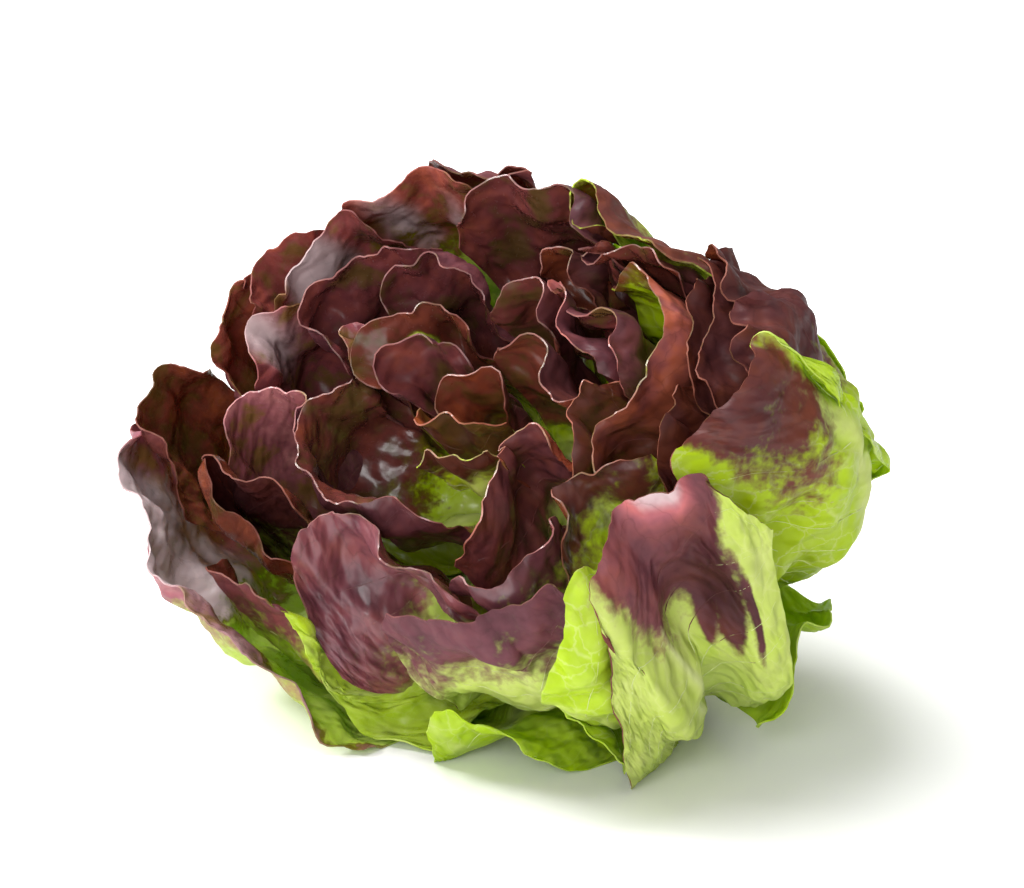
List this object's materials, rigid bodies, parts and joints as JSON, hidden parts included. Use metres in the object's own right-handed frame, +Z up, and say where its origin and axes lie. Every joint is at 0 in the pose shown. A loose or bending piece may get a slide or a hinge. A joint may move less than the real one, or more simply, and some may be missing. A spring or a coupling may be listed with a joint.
{
  "type": "red oak leaf lettuce head",
  "caption": "Whole cut head of red-and-green loose-leaf lettuce lying tilted on its side, with separate lobed, waved leaf blades rooted round a tapered cut stem.",
  "frame": {"origin": "bottom centre of the bounding box, on the surface that the head lies on", "axes": "+Z up; +X along the longest extent; the opened top faces up and towards -X and -Y, and the cut stem is at the back on the +X +Y side"},
  "size_m": [0.2557, 0.226, 0.1848],
  "materials": {
    "cut stem": "matte, moist cut face, pale cream green",
    "heart leaf": "satin leaf, dark purple brown",
    "inner leaf": "glossy dark purple brown upper face, matte mauve under face, pale pink margin",
    "outer leaf": "mauve brown top turning pale yellow green towards the base, pale veins and rib",
    "base leaf": "bright yellow green leaf with pale rib, satin"
  },
  "bodies": {
    "root": {"stem": "cut stem", "heart_leaf_1": "heart leaf", "heart_leaf_2": "heart leaf", "heart_leaf_3": "heart leaf", "heart_leaf_4": "heart leaf", "heart_leaf_5": "heart leaf", "heart_leaf_6": "heart leaf", "inner_leaf_1": "inner leaf", "inner_leaf_2": "inner leaf", "inner_leaf_3": "inner leaf", "inner_leaf_4": "inner leaf", "inner_leaf_5": "inner leaf", "inner_leaf_6": "inner leaf", "inner_leaf_7": "inner leaf", "inner_leaf_8": "inner leaf", "inner_leaf_9": "inner leaf", "inner_leaf_10": "inner leaf", "inner_leaf_11": "inner leaf", "inner_leaf_12": "inner leaf", "inner_leaf_13": "inner leaf", "inner_leaf_14": "inner leaf", "inner_leaf_15": "inner leaf", "inner_leaf_16": "inner leaf", "inner_leaf_17": "inner leaf", "outer_leaf_1": "outer leaf", "outer_leaf_2": "outer leaf", "outer_leaf_3": "outer leaf", "outer_leaf_4": "outer leaf", "outer_leaf_5": "outer leaf", "outer_leaf_6": "outer leaf", "outer_leaf_7": "outer leaf", "outer_leaf_9": "outer leaf", "outer_leaf_8": "outer leaf", "outer_leaf_10": "outer leaf", "outer_leaf_11": "outer leaf", "outer_leaf_12": "outer leaf", "outer_leaf_13": "outer leaf", "outer_leaf_14": "outer leaf", "outer_leaf_15": "outer leaf", "outer_leaf_17": "outer leaf", "outer_leaf_18": "outer leaf", "outer_leaf_19": "outer leaf", "outer_leaf_16": "outer leaf", "outer_leaf_20": "outer leaf", "base_leaf_1": "base leaf", "base_leaf_2": "base leaf", "base_leaf_3": "base leaf", "base_leaf_4": "base leaf", "base_leaf_5": "base leaf"}
  },
  "joints": []
}
